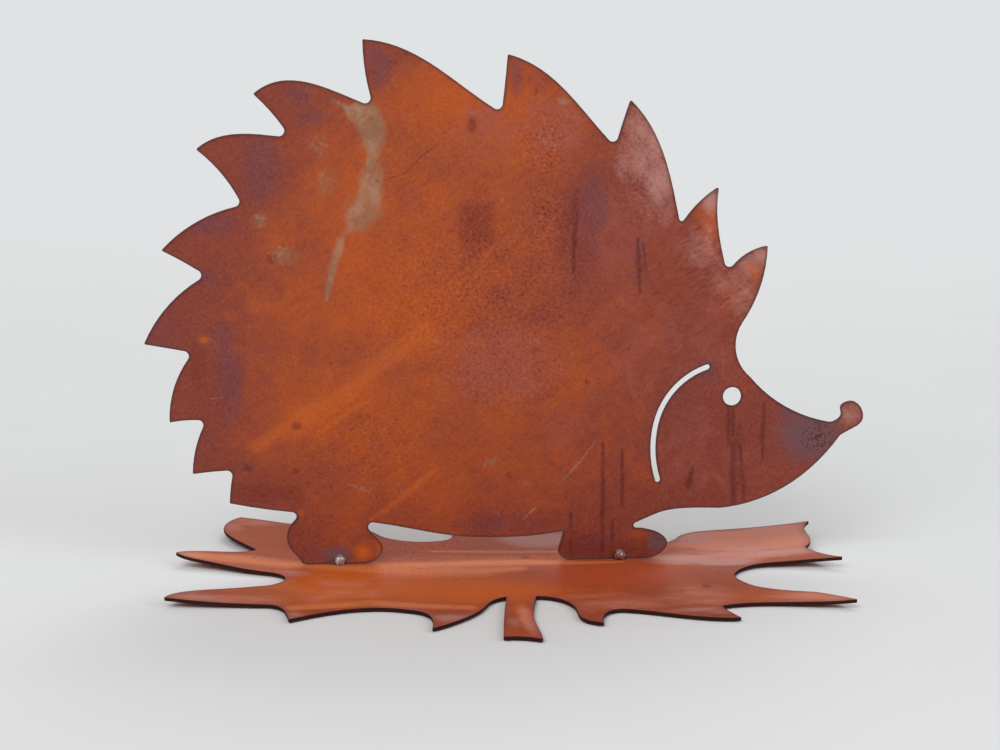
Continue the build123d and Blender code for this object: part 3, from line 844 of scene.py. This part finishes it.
for piece, node, slot in ((plate, "hedgehog_plate", "rusted_body"), (leaf, "leaf_base", "rusted_leaf"),
                          (rear_bead, "rear_foot_weld", "weld_metal"),
                          (front_bead, "front_foot_weld", "weld_metal")):
    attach(piece, "root")
    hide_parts(node)


# ---------------------------------------------------------------- floor, light, camera

BACKDROP = (0.745, 0.76, 0.77, 1.0)
PLASTER = ((0.69, 0.70, 0.705, 1.0), (0.72, 0.73, 0.735, 1.0))
HAZE_FROM, HAZE_TO = 0.25, 1.3  # metres from the figurine
FLOOR_HALF, FLOOR_TOP = 4000, -0.3
WHITE = (1.0, 1.0, 1.0, 1.0)
SKY_STRENGTH = 0.5


def plaster():
    """Pale plaster near the figurine that passes into the tone of the backdrop farther off."""
    s = Surface("floor_plaster")
    near = s.shader(s.mix(s.noise(60, 3, 0.5), *PLASTER), 0.85, s.noise(2, 3, 0.5), 0.1, Specular_IOR_Level=0.0)
    haze = s.node("Emission", {"Color": BACKDROP, "Strength": 1.0}).outputs[0]
    away = s.node("VectorMath", {0: s.place}, operation="LENGTH").outputs["Value"]
    return s.show(s.node("MixShader", {0: s.step(away, HAZE_FROM, HAZE_TO), 1: near, 2: haze}).outputs[0])


corners = [(x, y, FLOOR_TOP) for x, y in ((-FLOOR_HALF, -FLOOR_HALF), (FLOOR_HALF, -FLOOR_HALF),
                                          (FLOOR_HALF, FLOOR_HALF), (-FLOOR_HALF, FLOOR_HALF))]
floor = built("floor", corners, [(0, 1, 2, 3)])
floor.data.materials.append(plaster())

MIDDLE = Vector((0.008, 0.0, 0.06))
for name, place, size, power in (("key", (-0.75, -1.25, 1.15), 1.1, 17), ("fill", (1.1, -1.0, 0.7), 1.0, 5.5),
                                 ("back", (0.3, 1.4, 1.2), 1.2, 11)):
    light = bpy.data.lights.new(name, "AREA")
    light.shape = "DISK"
    light.size = size
    light.energy = power
    lamp = bpy.data.objects.new(name, light)
    lamp.location = place
    lamp.rotation_euler = (MIDDLE - Vector(place)).to_track_quat("-Z", "Y").to_euler()
    bpy.context.scene.collection.objects.link(lamp)

# The camera, gloss and glass see the backdrop's tone, and the rest is lit by a plain white sky.
world = bpy.data.worlds.new("studio")
bpy.context.scene.world = world
studio = Nodes(world, "OutputWorld")
rays = studio.node("LightPath").outputs
seen = studio.most(studio.most(rays["Is Camera Ray"], rays["Is Glossy Ray"]), rays["Is Transmission Ray"])
sky = studio.node("Background", {0: WHITE, 1: SKY_STRENGTH}).outputs[0]
tone = studio.node("Background", {0: BACKDROP}).outputs[0]
studio.show(studio.node("MixShader", {0: seen, 1: sky, 2: tone}).outputs[0])

# The camera looks 8.8 degrees down and 6.5 degrees to the right of the plate's normal, and is rolled a
# little. Angles are radians, and the focal length is in pixels of the photo, which is 1000 wide.
TILT, YAW, ROLL = 0.1534, math.radians(6.4865), 0.0061
PLACE = Vector((-0.07276, -0.68827, 0.16047))
FOCAL, WIDTH, SENSOR = 2540.1, 1000, 36.0
ahead = Vector((math.cos(TILT) * math.sin(YAW), math.cos(TILT) * math.cos(YAW), -math.sin(TILT)))
right = Vector((math.cos(YAW), -math.sin(YAW), 0.0))
down = ahead.cross(right)
across = right * math.cos(ROLL) - down * math.sin(ROLL)
up = -(right * math.sin(ROLL) + down * math.cos(ROLL))
lens = bpy.data.cameras.new("camera")
lens.sensor_width = SENSOR
lens.lens = FOCAL / WIDTH * SENSOR
camera = bpy.data.objects.new("camera", lens)
camera.matrix_world = Matrix.Translation(PLACE) @ Matrix((across, up, -ahead)).transposed().to_4x4()
bpy.context.scene.collection.objects.link(camera)
bpy.context.scene.camera = camera
bpy.context.scene.view_settings.view_transform = "Standard"
